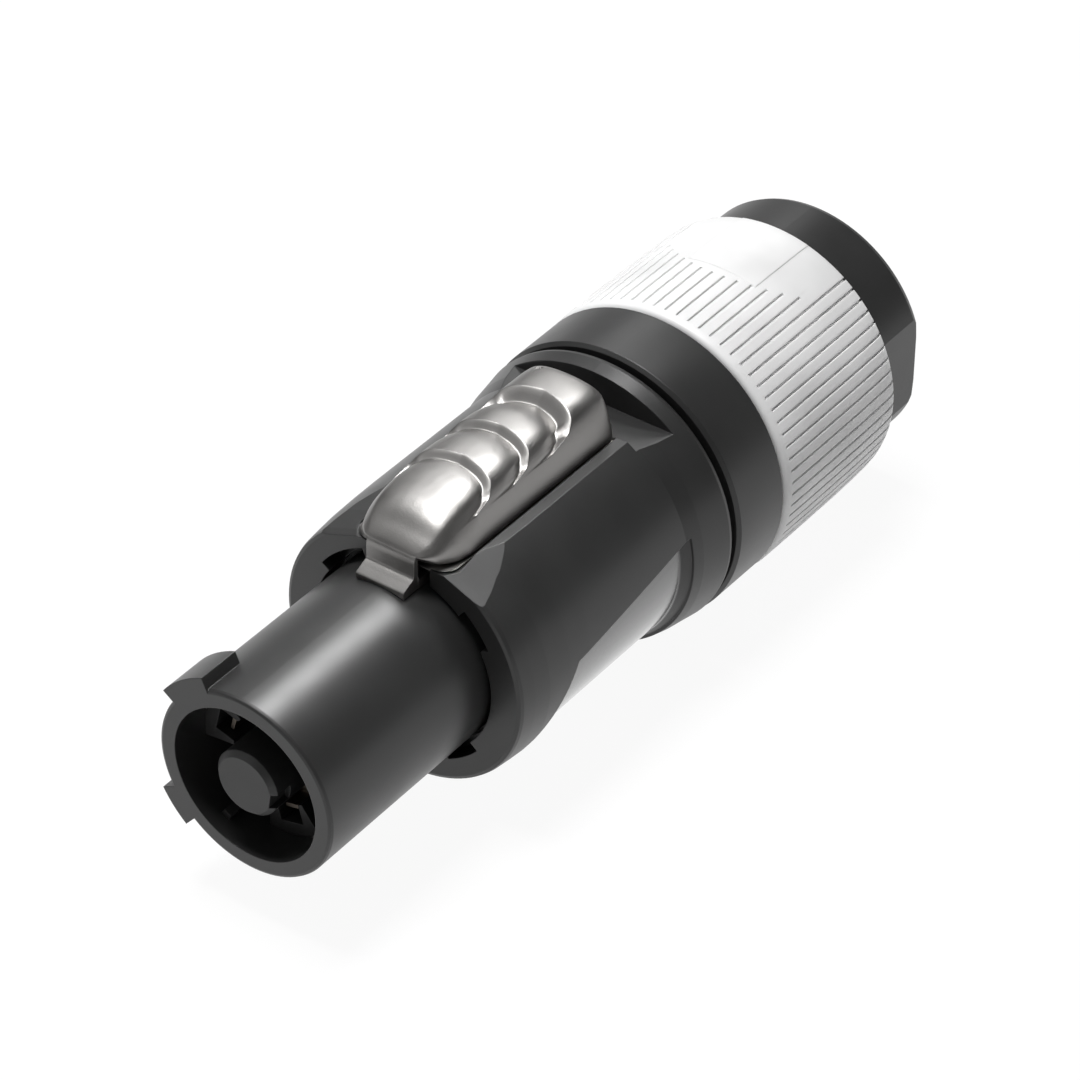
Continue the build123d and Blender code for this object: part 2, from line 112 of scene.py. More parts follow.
# %% A socket that can be added and multiplied
class Wire:
    """One output of a shader node, for use in sums."""

    def __init__(self, tree, socket):
        self.tree, self.socket = tree, socket

    def math(self, operation, *values):
        """A Math node on all these values."""
        node = self.tree.nodes.new("ShaderNodeMath")
        node.operation = operation
        for slot, value in zip(node.inputs, values):
            plug(self.tree, value, slot)
        return Wire(self.tree, node.outputs[0])

    def __add__(self, other):
        return self.math("ADD", self, other)

    def __sub__(self, other):
        return self.math("SUBTRACT", self, other)

    def __mul__(self, other):
        return self.math("MULTIPLY", self, other)

    def __truediv__(self, other):
        return self.math("DIVIDE", self, other)

    def __rsub__(self, other):
        return self.math("SUBTRACT", other, self)

    __radd__ = __add__
    __rmul__ = __mul__

    def root(self):
        return self.math("SQRT", self)

    def at_least(self, other):
        return self.math("MAXIMUM", self, other)


def plug(tree, value, slot):
    """Link a wire to a socket, or set the socket's own value."""
    if isinstance(value, Wire):
        tree.links.new(value.socket, slot)
    else:
        slot.default_value = value


# %% A material under construction
class Finish:
    """A material, with short names for the nodes that the finishes use."""

    def __init__(self, name, **constants):
        self.material = bpy.data.materials.new(name)
        self.material.use_nodes = True
        self.tree = self.material.node_tree
        self.shader = self.tree.nodes["Principled BSDF"]
        for socket, value in constants.items():
            self.shader.inputs[socket.replace("_", " ")].default_value = value

    def node(self, kind, settings=(), output=0, **values):
        """Add a node: its settings first, then its sockets by name, or as i3 by number."""
        node = self.tree.nodes.new("ShaderNode" + kind)
        for key, value in dict(settings).items():
            if key == "stops":
                ramp = node.color_ramp
                while len(ramp.elements) < len(value):
                    ramp.elements.new(0.5)
                for element, (place, colour) in zip(ramp.elements, value):
                    element.position = place
                    element.color = colour
            else:
                setattr(node, key, value)
        for socket, value in values.items():
            key = int(socket[1:]) if socket[1:].isdigit() else socket.replace("_", " ")
            plug(self.tree, value, node.inputs[key])
        return Wire(self.tree, node.outputs[output])

    def place(self):
        return self.node("TexCoord", output="Object")

    def noise(self, scale, detail=2.0, roughness=0.5):
        return self.node("TexNoise", Vector=self.place(), Scale=scale, Detail=detail, Roughness=roughness)

    def ramp(self, wire, *stops):
        return self.node("ValToRGB", {"stops": stops}, Fac=wire)

    def grade(self, wire, low, high, to_low=0.0, to_high=1.0):
        """Stretch low..high to to_low..to_high and hold it there outside."""
        return self.node("MapRange", {"clamp": True}, output="Result", Value=wire,
                         From_Min=low, From_Max=high, To_Min=to_low, To_Max=to_high)

    def blend(self, amount, first, second):
        """Colour mix: 0 gives the first, 1 the second."""
        return self.node("Mix", {"data_type": "RGBA"}, output=2, i0=amount, i6=first, i7=second)

    def feed(self, socket, wire):
        plug(self.tree, wire, self.shader.inputs[socket])

    def relief(self, height, distance, strength, edge):
        """Bump from a height, on top of edges that look rounded by a radius."""
        soft = self.node("Bevel", {"samples": 6}, Radius=edge)
        bump = self.node("Bump", Height=height, Distance=distance, Strength=strength, Normal=soft)
        self.feed("Normal", bump)


def grey(value, warm=0.0):
    return (value * (1 + warm), value, value * (1 - warm), 1.0)


# %% [markdown]
# ## Moulded plastic
# The black parts are glass-filled nylon from a spark-eroded mould: nearly
# black, half matt, with a grain too fine to see one by one and a slow drift of
# gloss where the melt flowed. A flat colour would look like paint. So the
# grain is a fine noise that feeds the bump and the roughness, the drift is a
# slow one, and one function makes every plastic of the object from them.

# %% Black and grey plastic
GRAIN_HEIGHT = 0.004 * MM
GRAIN_STRENGTH = 0.5


def plastic_skin(name, base, gloss, grain, spread, **constants):
    """What all plastics share: the finish, its grain, its colour and its gloss."""
    skin = Finish(name, IOR=1.5, **constants)
    fine = skin.noise(1 / grain, 3.0, 0.6)
    slow = skin.noise(1 / spread)
    tint = skin.ramp(slow, (0.3, grey(base * 0.92)), (0.7, grey(base * 1.08)))
    rough = skin.grade(slow, 0.3, 0.7, gloss - 0.03, gloss + 0.03) + (fine - 0.5) * 0.06
    return skin, fine, tint, rough


def moulded(name, base, gloss, grain, spread, edge):
    skin, fine, tint, rough = plastic_skin(name, base, gloss, grain, spread)
    skin.feed("Base Color", tint)
    skin.feed("Roughness", rough)
    skin.relief(fine, GRAIN_HEIGHT, GRAIN_STRENGTH, edge)
    print("finish:", name)
    return skin.material


BLACK, BLACK_GLOSS = 0.022, 0.37
black_plastic = moulded("black_plastic", BLACK, BLACK_GLOSS, 0.12 * MM, 6 * MM, 0.12 * MM)
insert_plastic = moulded("insert_plastic", BLACK, 0.5, 0.15 * MM, 5 * MM, 0.12 * MM)
grey_plastic = moulded("grey_plastic", 0.77, 0.42, 0.12 * MM, 8 * MM, 0.08 * MM)
chuck_plastic = moulded("chuck_plastic", 0.05, 0.5, 0.15 * MM, 6 * MM, 0.1 * MM)

# %% [markdown]
# ## Polished belly
# The housing is the same black plastic, but its lowered belly is polished in
# the mould and mirrors the table. The belly could be a piece of its own with
# its own finish. On the real part it is one surface of one moulding, so here
# a mask finds it: it has its own radius, and ends below the latch and behind
# the shoulder. Where the mask is 1, the skin is smoother and has a clear coat,
# and its black is painted a little lighter, a painted sheen on top of the real
# reflection of the table.

# %% Black plastic with a polished belly
BELLY_R = 13.15
BELLY_TOP = 5.5
BELLY_START = 3.6


def polished_belly(name, base, gloss, grain, spread, edge):
    coat = {"Coat_IOR": 1.6, "Coat_Roughness": 0.16}
    skin, fine, tint, rough = plastic_skin(name, base, gloss, grain, spread, **coat)
    along, across, up = [skin.node("SeparateXYZ", output=k, Vector=skin.place()) / MM for k in range(3)]
    radius = (across * across + up * up).root()
    not_larger = skin.grade(radius, BELLY_R + 0.12, BELLY_R + 0.04)
    not_smaller = skin.grade(radius, BELLY_R - 0.4, BELLY_R - 0.3)
    below_latch = skin.grade(up, BELLY_TOP + 0.5, BELLY_TOP)
    behind_shoulder = skin.grade(along, BELLY_START - 0.4, BELLY_START)
    belly = not_larger * not_smaller * below_latch * behind_shoulder
    # Painted sheen: under the belly mask the base colour goes from the black to a lighter 0.05, so the
    # polished belly looks brighter than its real reflection makes it.
    skin.feed("Base Color", skin.blend(belly, tint, grey(0.05)))
    skin.feed("Roughness", rough - belly * 0.12)
    skin.feed("Coat Weight", belly)
    skin.relief(fine, GRAIN_HEIGHT, GRAIN_STRENGTH, edge)
    print("finish:", name)
    return skin.material


housing_plastic = polished_belly("housing_plastic", BLACK, BLACK_GLOSS, 0.12 * MM, 6 * MM, 0.12 * MM)

# %% [markdown]
# ## Cast and drawn metal
# The latch is a zinc casting that is tumbled and then plated, so it is bright
# but never a mirror. The contacts are brass, and the screws, cages and spring
# are steel. Each could have a shader of its own, but they differ only in colour
# and gloss, so one function makes them all. The brass is given a dark, dull
# colour: painted shade, since the contacts sit deep in the nose where shade
# falls. The satin comes from roughness with a slow drift, and a shallow bump
# breaks up the highlights.

# %% Metals
CAST_HEIGHT = 0.02 * MM
CAST_STRENGTH = 0.6


def metal(name, base, warm, gloss, grain, edge):
    skin = Finish(name, Metallic=1.0)
    fine = skin.noise(1 / grain, 4.0, 0.65)
    slow = skin.noise(1 / (3 * MM))
    skin.feed("Base Color", skin.ramp(slow, (0.3, grey(base * 0.95, warm)), (0.7, grey(base * 1.05, warm))))
    skin.feed("Roughness", skin.grade(slow, 0.3, 0.7, gloss - 0.03, gloss + 0.04) + (fine - 0.5) * 0.1)
    skin.relief(fine, CAST_HEIGHT, CAST_STRENGTH, edge)
    print("finish:", name)
    return skin.material


die_cast = metal("die_cast", 0.27, 0.025, 0.38, 0.2 * MM, 0.06 * MM)
# Painted shade: the brass colour is dark and dull (0.3, little warmth), so the contacts inside the nose show
# as shaded instead of as bright brass.
brass = metal("brass", 0.3, 0.15, 0.4, 0.3 * MM, 0.05 * MM)
steel = metal("steel", 0.5, 0.0, 0.3, 0.3 * MM, 0.05 * MM)

# %% [markdown]
# ## Finishes on the CAD solids
# Each CAD solid comes with a plain material that is named for its finish. The
# finished materials could be given solid by solid, but the names already say
# which goes where, so a loop reads them. Only the housing is an exception.

# %% Dress the CAD solids
FINISHES = {
    "black_plastic": black_plastic, "insert_plastic": insert_plastic,
    "grey_plastic": grey_plastic, "die_cast": die_cast, "brass": brass,
    "steel": steel, "chuck_plastic": chuck_plastic,
}
for name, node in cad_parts.items():
    for place in node.material_slots:
        kind = place.material.name.split(".")[0] if place.material else ""
        print(name, kind)
        place.material = FINISHES.get(kind, black_plastic)
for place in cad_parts["housing"].material_slots:
    place.material = housing_plastic

# %% [markdown]
# ## Tools for the pieces
# The new pieces need the same few moves again and again: select one piece,
# apply a modifier, copy a CAD solid, make a box or a flat profile, cut one
# piece with another. Written once as functions, they read like a bench's tools.

# %% Select, apply and copy
def lone(piece):
    """Select this piece alone and make it the active one."""
    bpy.ops.object.select_all(action="DESELECT")
    piece.select_set(True)
    bpy.context.view_layer.objects.active = piece


def applied(piece, kind, **settings):
    """Add a modifier to a piece and apply it at once."""
    lone(piece)
    modifier = piece.modifiers.new(kind.lower(), kind)
    for key, value in settings.items():
        setattr(modifier, key, value)
    bpy.ops.object.modifier_apply(modifier=modifier.name)


SAME_POINT = 0.0005 * MM


def merged_copy(node, name):
    """A piece with a CAD node's mesh, its loose triangles joined."""
    piece = bpy.data.objects.new(name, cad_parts[node].data.copy())
    bpy.context.collection.objects.link(piece)
    lone(piece)
    bpy.ops.object.mode_set(mode="EDIT")
    bpy.ops.mesh.select_all(action="SELECT")
    bpy.ops.mesh.remove_doubles(threshold=SAME_POINT)
    bpy.ops.object.mode_set(mode="OBJECT")
    return piece


def finished(piece, sharp, material):
    """Smooth shading up to an angle in degrees, one material, and a printed size."""
    lone(piece)
    bpy.ops.object.shade_smooth_by_angle(angle=radians(sharp))
    piece.data.materials.clear()
    piece.data.materials.append(material)
    print(piece.name, len(piece.data.polygons), "faces")
    for axis, letter in enumerate("xyz"):
        places = [vertex.co[axis] / MM for vertex in piece.data.vertices]
        print(" ", letter, "from", round(min(places), 2), "to", round(max(places), 2), "mm")


# %% Shapes to cut with, and the cut
def placed():
    """The new primitive, with its place, turn and size put into its mesh."""
    bpy.ops.object.transform_apply(location=True, rotation=True, scale=True)
    return bpy.context.object


def block(low, high):
    """A box between two corners in mm."""
    middle = [(a + b) / 2 * MM for a, b in zip(low, high)]
    bpy.ops.object.select_all(action="DESELECT")
    bpy.ops.mesh.primitive_cube_add(size=1, location=middle)
    bpy.context.object.scale = [(b - a) * MM for a, b in zip(low, high)]
    return placed()


def slab(profile, half):
    """A side profile of (x, z) points in mm, made wide across Y."""
    bpy.ops.object.select_all(action="DESELECT")
    bpy.ops.mesh.primitive_circle_add(vertices=len(profile), radius=1, fill_type="NGON")
    piece = bpy.context.object
    for vertex, (x, z) in zip(piece.data.vertices, profile):
        vertex.co = (x * MM, -half * MM, z * MM)
    bpy.ops.object.mode_set(mode="EDIT")
    bpy.ops.mesh.select_all(action="SELECT")
    bpy.ops.mesh.extrude_region_move(TRANSFORM_OT_translate={"value": (0, 2 * half * MM, 0)})
    bpy.ops.mesh.select_all(action="SELECT")
    bpy.ops.mesh.normals_make_consistent(inside=False)
    bpy.ops.object.mode_set(mode="OBJECT")
    return piece


def cut(piece, operation, tool):
    """Boolean with a tool that is thrown away afterwards."""
    applied(piece, "BOOLEAN", operation=operation, solver="EXACT", object=tool)
    bpy.data.objects.remove(tool)


# %% [markdown]
# ## The latch's sizes
# On the real connector the latch is tumbled before it is plated, so every edge
# is soft and flows into the next face. Its form is easiest to give as curves:
# one across it, and some along it that say how high, how wide and how deep it
# is at each place. A spline object could draw them, but can't be asked for its
# height at a place. So each curve is a few points in a list, and a function
# draws a smooth line through them that never swings past a point.

# %% A smooth line through a few points
def flow(table, place):
    """Smooth curve through (place, value) pairs that never overshoots."""
    if place <= table[0][0]:
        return table[0][1]
    if place >= table[-1][0]:
        return table[-1][1]
    rises = [(v1 - v0) / (p1 - p0) for (p0, v0), (p1, v1) in zip(table, table[1:])]
    slopes = [0 if a * b <= 0 else 2 * a * b / (a + b) for a, b in zip(rises, rises[1:])]
    slopes = [rises[0]] + slopes + [rises[-1]]
    k = max(i for i, (spot, _) in enumerate(table) if spot <= place)
    gap = table[k + 1][0] - table[k][0]
    t = (place - table[k][0]) / gap
    return ((1 + 2 * t) * (1 - t) ** 2 * table[k][1] + t * t * (3 - 2 * t) * table[k + 1][1]
            + gap * (t * (1 - t) ** 2 * slopes[k] - t * t * (1 - t) * slopes[k + 1]))


# %% Across the latch
LATCH_LOW = 11.6
HALF_WIDTH = 5.45
# half of the cross section, as (y, height) from the middle of the top to the foot
SECTION = [(0, 5.4), (1, 5.37), (2, 5.27), (2.7, 5.13), (3.2, 4.97), (3.6, 4.78), (3.9, 4.56),
           (4.15, 4.27), (4.37, 3.9), (4.6, 3.4), (4.85, 2.75), (5.05, 2.1), (5.25, 1.3), (5.4, 0.5),
           (HALF_WIDTH, 0)]
arc = [0.0]
for (y0, z0), (y1, z1) in zip(SECTION, SECTION[1:]):
    arc.append(arc[-1] + sqrt((y1 - y0) ** 2 + (z1 - z0) ** 2))
ACROSS = [(run, y) for run, (y, _) in zip(arc, SECTION)]
HEIGHT = [(run, z) for run, (_, z) in zip(arc, SECTION)]
print("over the top of the latch in mm:", round(2 * arc[-1], 1))

# %% Along the latch
FRONT_X, REAR_X = -1.1, 25.7
# the three steps: crest, foot in front of it, depth, and how far its ends sweep forward
CRESTS = (9.5, 15.2, 21.8)
FEET = (8.7, 14.4, 20.5)
DEPTHS = (0.62, 0.65, 1.15)
SWEEPS = (4.2, 4.25, 4.8)
# down the side: how much of its sweep, depth and length a step has there, and a dome of its depth
BEND = [(0, 0), (2, 0.08), (3.8, 0.22), (4.45, 0.33), (5.1, 0.52), (5.6, 1.0)]
FADE = [(0, 1), (4.4, 1), (4.9, 0.82), (5.35, 0.4), (5.7, 0)]
TAPER = [(0, 1), (4.4, 1), (4.9, 0.8), (5.35, 0.4), (5.7, 0.05)]
SOFT = [(0, 1), (3.0, 0.97), (4.6, 0.7), (6.2, 0.3), (8.0, 0)]
# how far the surface lies below the section: on the dome in mm, else as a share of the step's depth
DOME = [(0, 0.4), (0.7, 0.38), (0.86, 0.44), (0.94, 0.52), (1, 0.62)]
WAVE = [(0, 0), (0.05, 0.002), (0.4, 0.07), (0.7, 0.38), (0.9, 0.79), (1, 1)]
RISER = [(0, 1), (0.08, 0.97), (0.3, 0.74), (0.7, 0.26), (0.96, 0.02), (1, 0)]
# the higher this is, the nearer to the first step the dome takes on that step's own fade
DOME_POWER = 6
# the front: its height as a share, its half width, and how far its lower edge is lifted
FULL_HEIGHT = 5.0
FRONT_HEIGHT = [(-1.1, 0.30), (-0.9, 0.37), (-0.4, 0.475), (0.4, 0.60), (1.5, 0.78), (3.0, 0.916),
                (4.75, 0.985), (6.2, 1)]
FRONT_HALF = [(-1.1, 2.9), (-1.0, 3.45), (-0.6, 4.15), (0, 4.72), (1.07, 5.15), (2.2, 5.38),
              (3.4, HALF_WIDTH)]
FRONT_LIFT = [(-1.1, 1.42), (-0.6, 0.9), (0, 0.55), (1.07, 0.2), (2.2, 0.04), (3.4, 0)]
# how far the lower edge is tucked in under the lifted front, and from where
TUCK, TUCK_START = 0.3, 5.2
REAR_EDGE = [(23.6, 0), (24.8, 0.1), (25.3, 0.24), (25.6, 0.48), (25.7, 0.8)]
print("latch in mm:", REAR_X - FRONT_X, "long,", 2 * HALF_WIDTH, "wide")

# %% [markdown]
# ## The latch's cap
# Three arcs cross the top, each with a step in front that the thumb pushes
# against. They bend forward as they go down the sides and fade out there. A
# boolean would leave their ends sharp. So the cap is one grid: its rows follow
# the arcs and its columns follow the section, and no crest cuts across a face.
# The points get their places from formulas, because no operator draws steps
# that fade along a bent line. Rows and columns are close together only where
# the surface turns sharply.

# %% Rows and columns of the cap
DOME_ROWS = [(i / 25) ** 1.6 for i in range(22)] + [0.82, 0.87, 0.91, 0.94, 0.965, 0.985]
RISER_ROWS = (0, 0.03, 0.07, 0.13, 0.21, 0.31, 0.42, 0.53, 0.64, 0.75, 0.85, 0.92, 0.97)
WAVE_ROWS = (0, 0.012, 0.03, 0.06, 0.11, 0.18, 0.27, 0.36, 0.45, 0.54, 0.62, 0.7, 0.77, 0.83, 0.89, 0.93,
             0.96, 0.985)
TAIL_ROWS = (0, 0.03, 0.08, 0.15, 0.25, 0.36, 0.48, 0.6, 0.7, 0.78, 0.85, 0.9, 0.94, 0.965, 0.98, 0.99, 1)
rows = [("dome", 0, v) for v in DOME_ROWS]
for k in range(len(CRESTS)):
    rows += [("riser", k, v) for v in RISER_ROWS]
    if k + 1 < len(CRESTS):
        rows += [("wave", k, v) for v in WAVE_ROWS]
rows += [("tail", len(CRESTS) - 1, v) for v in TAIL_ROWS]

# down the side: wide steps on the top, fine ones where the arcs bend, nine on the skirt
WIDE_STEP, FINE_STEP = 0.3, 0.04
FINE_START, SKIRT_START = 4.1, 5.82
side = [WIDE_STEP * i for i in range(14)] + [FINE_START + FINE_STEP * i for i in range(42)]
side += [SKIRT_START + (arc[-1] - SKIRT_START) * i / 9 for i in range(10)]
columns = [-run for run in reversed(side[1:])] + side
print("cap grid:", len(rows), "rows,", len(columns), "columns")


# %% One point of the cap
def along_cap(kind, k, v, s):
    """Where a row is at s mm down the side: its x, and the depth of the surface there."""
    bend, fade = flow(BEND, s), flow(FADE, s)
    crest = CRESTS[k] - SWEEPS[k] * bend
    foot = crest - (CRESTS[k] - FEET[k]) * flow(TAPER, s)
    if kind == "dome":
        late = v ** DOME_POWER
        return FRONT_X + (foot - FRONT_X) * v, flow(DOME, v) * (fade * late + flow(SOFT, s) * (1 - late))
    if kind == "riser":
        return foot + (crest - foot) * v, DEPTHS[k] * flow(RISER, v) * fade
    if kind == "wave":
        after = CRESTS[k + 1] - SWEEPS[k + 1] * bend - (CRESTS[k + 1] - FEET[k + 1]) * flow(TAPER, s)
        return crest + (after - crest) * v, DEPTHS[k + 1] * flow(WAVE, v) * fade
    x = crest + (REAR_X - crest) * v
    return x, flow(REAR_EDGE, x)


def cap_point(kind, k, v, run):
    """A point of the cap: which stretch, how far along it, how far down the side."""
    s = abs(run)
    x, depth = along_cap(kind, k, v, s)
    y, z = flow(ACROSS, s), flow(HEIGHT, s)
    step = 0.02
    ty = flow(ACROSS, s + step) - flow(ACROSS, s - step)
    tz = flow(HEIGHT, s + step) - flow(HEIGHT, max(0, s - step))
    size = sqrt(ty * ty + tz * tz) or 1.0
    y, z = y + depth * tz / size, z - depth * (ty / size if s > 0 else 1)
    lift = flow(FRONT_LIFT, x)
    z = lift + z * (FULL_HEIGHT * flow(FRONT_HEIGHT, x) - lift) / FULL_HEIGHT
    tuck = TUCK * sqrt(lift / FRONT_LIFT[0][1]) * max(0.0, (s - TUCK_START) / (arc[-1] - TUCK_START)) ** 2
    y *= flow(FRONT_HALF, x) / HALF_WIDTH * (1 - tuck)
    return x * MM, (y if run > 0 else -y) * MM, (LATCH_LOW + max(z, 0.0)) * MM


# %% Cap of the latch
# one row and one column more on each side fold together and close the underside
bpy.ops.object.select_all(action="DESELECT")
bpy.ops.mesh.primitive_grid_add(x_subdivisions=len(rows) + 1, y_subdivisions=len(columns) + 1, size=1)
casting = bpy.context.object
casting.name = "latch_casting"
for vertex in casting.data.vertices:
    i = round((vertex.co.x + 0.5) * (len(rows) + 1))
    j = round((vertex.co.y + 0.5) * (len(columns) + 1))
    row, column = min(max(i, 1), len(rows)) - 1, min(max(j, 1), len(columns)) - 1
    x, y, z = cap_point(*rows[row], columns[column])
    if i in (0, len(rows) + 1) or j in (0, len(columns) + 1):
        y, z = 0.0, (LATCH_LOW + flow(FRONT_LIFT, x / MM)) * MM
    vertex.co = (x, y, z)
bpy.ops.object.mode_set(mode="EDIT")
bpy.ops.mesh.select_all(action="SELECT")
bpy.ops.mesh.remove_doubles(threshold=SAME_POINT)
bpy.ops.mesh.normals_make_consistent(inside=False)
bpy.ops.mesh.select_all(action="DESELECT")
bpy.ops.mesh.select_mode(type="VERT")
bpy.ops.mesh.select_non_manifold()
bpy.ops.object.mode_set(mode="OBJECT")
print("cap:", len(casting.data.polygons), "faces, open points", sum(v.select for v in casting.data.vertices))
applied(casting, "SUBSURF", levels=1)

# %% [markdown]
# ## The latch below its cap
# Under the cap the real latch is hollow for its spring, has a keel and a foot
# that run in the housing, and in front a neck that ends in a hook bar. The
# hook bar lies on the round nose. The keel and foot fit already, so they are
# cut from the CAD latch. Neck and hook bar are one side profile made wide,
# with the nose's cylinder taken out. Booleans join them, since nothing here
# has to flow into the next face. The small oval dent at the rear is where the
# casting was pushed out of its mould.

# %% Hollow and dent
HOLLOW_LOW, HOLLOW_HIGH = (5.6, -3.0, LATCH_LOW - 1), (23.95, 3.0, 14.7)
DENT_PLACE = (24.15, 3.05, 16.95)
DENT_SIZE = (0.95, 0.33, 0.8)
DENT_TURN = (0, 0.07, radians(-39))
cut(casting, "DIFFERENCE", block(HOLLOW_LOW, HOLLOW_HIGH))
bpy.ops.object.select_all(action="DESELECT")
bpy.ops.mesh.primitive_cylinder_add(vertices=40, radius=1, depth=1, rotation=DENT_TURN,
                                    location=[v * MM for v in DENT_PLACE])
bpy.context.object.scale = [v * MM for v in DENT_SIZE]
cut(casting, "DIFFERENCE", placed())
print("with hollow and dent:", len(casting.data.polygons), "faces")

# %% Keel, foot, neck and hook bar
KEEL_START = -0.8
NECK_HALF = 2.68
NOSE_SPACE_R = 9.82
NECK = [(-2.9, 9.0), (-2.9, 10.1), (-2.8, 10.25), (-2.45, 10.36), (-2.4, 10.43), (-2.1, 10.52),
        (-2.04, 10.6), (-1.5, 10.8), (-1.4, 10.9), (-1.36, 11.1), (-1.34, 12.2), (-1.27, 12.75),
        (-1.1, 13.1), (-0.72, 13.3), (-0.72, 9.0)]
lower = merged_copy("latch", "latch_lower")
cut(lower, "INTERSECT", block((KEEL_START, -6, 5), (30, 6, LATCH_LOW + 0.02)))
neck = slab(NECK, NECK_HALF)
bpy.ops.object.select_all(action="DESELECT")
bpy.ops.mesh.primitive_cylinder_add(vertices=256, radius=NOSE_SPACE_R * MM, depth=20 * MM,
                                    rotation=(0, pi / 2, 0))
cut(neck, "DIFFERENCE", placed())
cut(lower, "UNION", neck)
cut(casting, "UNION", lower)
finished(casting, 38, die_cast)
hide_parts("latch")
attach(casting, "latch_slide_body")

# %% [markdown]
# ## Latch spring
# The spring is wound from steel wire, lies in the hollow of the latch and can
# only be seen with the latch off. It could be wound anew as a curve, but the
# CAD spring is right, so a copy is enough.

# %% Copy of the spring
spring = merged_copy("latch_spring", "latch_spring_wire")
finished(spring, 40, steel)
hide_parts("latch_spring")
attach(spring, "plug_body")
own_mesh(spring)

# %% [markdown]
# ## Grip ring
# The grip is a second, softer plastic moulded over the bushing. Seventy-two
# grooves make its ribs, and on top they stop at a smooth pad. The ribs could
# be copies set round a cylinder, with seams between them. Here the ring is one
# circle pushed along the axis from station to station, so that each groove is
# one strip of faces. Only those strips are pressed in, and one bevel then
# rounds every rib.

# %% The ring's stations
RIBS = 72
RIB_TURN = 360 / RIBS
FACES_PER_RIB = 5
ring_low, ring_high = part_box("grip_ring")
RING_START, RING_END = ring_low[0] / MM, ring_high[0] / MM
RING_R = 15.2
SEAT_R = 13.42
GROOVE_START = RING_START + 1.1
# how far the surface is below the full radius, by distance from the start and from the end
START_DROPS = [(0, 0.62), (0.12, 0.32), (0.42, 0.1), (1.1, 0.03), (5.0, 0)]
BEHIND_PAD, BEHIND_DROP = 15.9, 0.05
END_DROPS = [(1.7, 0.12), (0.8, 0.2), (0.3, 0.34), (0.05, 0.55), (0, 0.8), (0, 1.15)]
# the pad's front edge is a bow: its middle, and how much further back it is at its end
PAD_START, PAD_SWEEP, PAD_END_TURN = 9.0, 5.2, 35.0


def pad_edge(turn):
    """Where the grooves stop, this many degrees from the latch."""
    return RING_START + PAD_START + PAD_SWEEP * (turn / PAD_END_TURN) ** 2


stations = [(RING_START, SEAT_R)]
stations += [(RING_START + run, RING_R - drop) for run, drop in START_DROPS]
stations += [(pad_edge(turn), RING_R) for turn in range(0, 31, 5)]
stations += [(RING_START + BEHIND_PAD, RING_R - BEHIND_DROP)]
stations += [(RING_END - run, RING_R - drop) for run, drop in END_DROPS]
stations += [(RING_END, SEAT_R)]
print("ring from", round(RING_START, 2), "to", round(RING_END, 2), "mm in", len(stations), "stations")

# %% Push a circle along the stations
first_x, first_r = stations[0]
bpy.ops.object.select_all(action="DESELECT")
bpy.ops.mesh.primitive_circle_add(vertices=RIBS * FACES_PER_RIB, radius=first_r * MM,
                                  location=(first_x * MM, 0, 0), rotation=(0, pi / 2, 0))
grip = placed()
grip.name = "grip_ribbed"
bpy.ops.object.mode_set(mode="EDIT")
bpy.ops.mesh.select_all(action="SELECT")
half_face = pi / (RIBS * FACES_PER_RIB)
bpy.ops.transform.rotate(value=half_face, orient_axis="X", center_override=(first_x * MM, 0, 0))
for (x0, r0), (x1, r1) in zip(stations, stations[1:]):
    bpy.ops.mesh.extrude_region_move(TRANSFORM_OT_translate={"value": ((x1 - x0) * MM, 0, 0)})
    if abs(r1 - r0) > 1e-6:
        bpy.ops.transform.resize(value=(1, r1 / r0, r1 / r0), center_override=(x1 * MM, 0, 0))
bpy.ops.mesh.select_all(action="DESELECT")
bpy.ops.mesh.select_mode(type="EDGE")
bpy.ops.mesh.select_non_manifold()
bpy.ops.mesh.bridge_edge_loops()
bpy.ops.mesh.select_all(action="SELECT")
bpy.ops.mesh.normals_make_consistent(inside=False)
bpy.ops.object.mode_set(mode="OBJECT")
print("ring blank:", len(grip.data.polygons), "faces")

# %% Choose the grooves and the pad
# a groove: how deep, how far to each side of its line, and how far in the faces may lie
GROOVE_DEPTH = 0.24
GROOVE_HALF_TURN = 0.3
SKIN_DEPTH = 1.1
# the raised middle of the pad: its rise and turns, its margins, and how far in the faces may lie
PAD_RISE = 0.05
PAD_TURNS = (-14, 17)
FRONT_MARGIN, REAR_MARGIN = 1.2, 0.3
TOP_DEPTH = 0.4
# how far to each side the whole pad goes, and the rounding of every rib
PAD_HALF_TURN = 33
RIB_ROUND = 0.045 * MM


def round_axis(centre):
    """Degrees from the latch, towards the camera's side, and distance from the axis."""
    return degrees(atan2(-centre.y, centre.z)), sqrt(centre.y ** 2 + centre.z ** 2)


def in_groove(centre):
    """Faces on a groove's line, as far as that groove goes."""
    turn, radius = round_axis(centre)
    line = RIB_TURN * round(turn / RIB_TURN)
    end = pad_edge(line) if abs(line) < PAD_HALF_TURN else RING_END + 1
    on_line = abs(turn - line) < GROOVE_HALF_TURN and radius > RING_R - SKIN_DEPTH
    return on_line and GROOVE_START < centre.x < end


def on_pad(centre):
    """The raised middle of the smooth pad."""
    turn, radius = round_axis(centre)
    return (PAD_TURNS[0] < turn < PAD_TURNS[1] and radius > RING_R - TOP_DEPTH
            and pad_edge(0) + FRONT_MARGIN < centre.x < RING_END - REAR_MARGIN)


